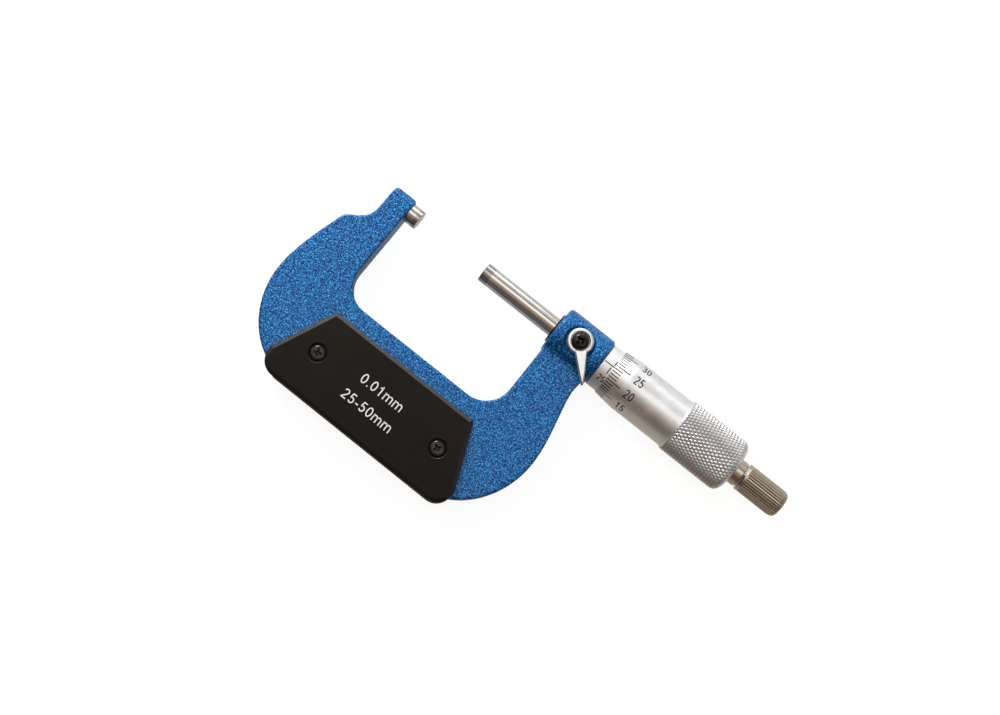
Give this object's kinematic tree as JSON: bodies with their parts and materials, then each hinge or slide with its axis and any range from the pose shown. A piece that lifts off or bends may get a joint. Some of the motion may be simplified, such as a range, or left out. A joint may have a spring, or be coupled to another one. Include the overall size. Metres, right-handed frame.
{
  "type": "outside micrometer",
  "caption": "Outside micrometer with a C-shaped frame, insulating grip plates, graduated sleeve and thimble, lever lock and ratchet stop.",
  "frame": {"origin": "centre of the anvil's measuring face, on the spindle axis", "axes": "+X along the spindle axis from the anvil to the ratchet, -Y from the axis into the bow, +Z out of the front of the frame"},
  "size_m": [0.1669, 0.0756, 0.0193],
  "materials": {
    "frame_enamel": "blue hammertone enamel, glossy over a pebbled relief",
    "plate_plastic": "black plastic with a fine leather grain, white pad-printed lettering on the front",
    "satin_chrome": "satin chrome with black-filled engraved lines and numerals",
    "ground_steel": "centreless-ground steel",
    "carbide": "ground carbide, lapped on the measuring face",
    "nickel_steel": "warm-toned nickel plate over turned steel",
    "lever_chrome": "polished chrome, slightly softened edges",
    "black_steel": "black-oxided steel, lightly oiled",
    "turned_steel": "plain turned steel",
    "spring_steel": "spring steel wire and strip",
    "shoe_brass": "plain brass"
  },
  "bodies": {
    "frame_body": {"frame": "frame_enamel", "anvil": "ground_steel", "anvil_tip": "carbide", "front_insulating_plate": "plate_plastic", "rear_insulating_plate": "plate_plastic", "front_plate_screws": "black_steel", "rear_plate_screws": "black_steel", "spindle_guide_bush": "black_steel", "inner_sleeve": "turned_steel", "adjusting_nut": "turned_steel", "lock_washer": "spring_steel"},
    "sleeve_body": {"outer_sleeve": "satin_chrome"},
    "feed_body": {"spindle_tip": "carbide"},
    "thimble_body": {"spindle": "ground_steel", "thimble": "satin_chrome", "ratchet_stem": "nickel_steel", "ratchet_end_screw": "nickel_steel"},
    "knob_body": {"ratchet_knob": "nickel_steel", "ratchet_spring": "spring_steel"},
    "pawl_body": {"ratchet_pawl": "turned_steel"},
    "shoe_body": {"lock_shoe": "shoe_brass"},
    "lever_body": {"lock_lever": "lever_chrome", "lock_screw": "black_steel", "lock_stud": "turned_steel"}
  },
  "joints": [
    {"name": "spindle_feed", "type": "slide", "parent": "frame_body", "child": "feed_body", "axis": [1, 0, 0], "range_m": [-0.00074, 0.02426]},
    {"name": "thimble_turn", "type": "hinge", "parent": "feed_body", "child": "thimble_body", "pos_m": [0.03, 0, 0], "axis": [1, 0, 0], "range_deg": [-533, 17468]},
    {"name": "ratchet_turn", "type": "hinge", "parent": "thimble_body", "child": "knob_body", "pos_m": [0.135, 0, 0], "axis": [1, 0, 0], "continuous": true},
    {"name": "ratchet_click", "type": "slide", "parent": "knob_body", "child": "pawl_body", "axis": [1, 0, 0], "range_m": [0, 0.00045], "deforming": ["ratchet_spring"]},
    {"name": "sleeve_zero_turn", "type": "hinge", "parent": "frame_body", "child": "sleeve_body", "pos_m": [0.085, 0, 0], "axis": [1, 0, 0], "range_deg": [-10, 10]},
    {"name": "lock_feed", "type": "slide", "parent": "frame_body", "child": "shoe_body", "axis": [0, 0, -1], "range_m": [0, 0.000125]},
    {"name": "lock_lever_turn", "type": "hinge", "parent": "shoe_body", "child": "lever_body", "pos_m": [0.0629, 0, 0.006], "axis": [0, 0, -1], "range_deg": [-0.5, 60.5]}
  ],
  "couplings": [
    {"joint": "thimble_turn", "follows": "spindle_feed", "rad_per_m": 12566},
    {"joint": "lock_lever_turn", "follows": "lock_feed", "rad_per_m": 8377.6}
  ]
}
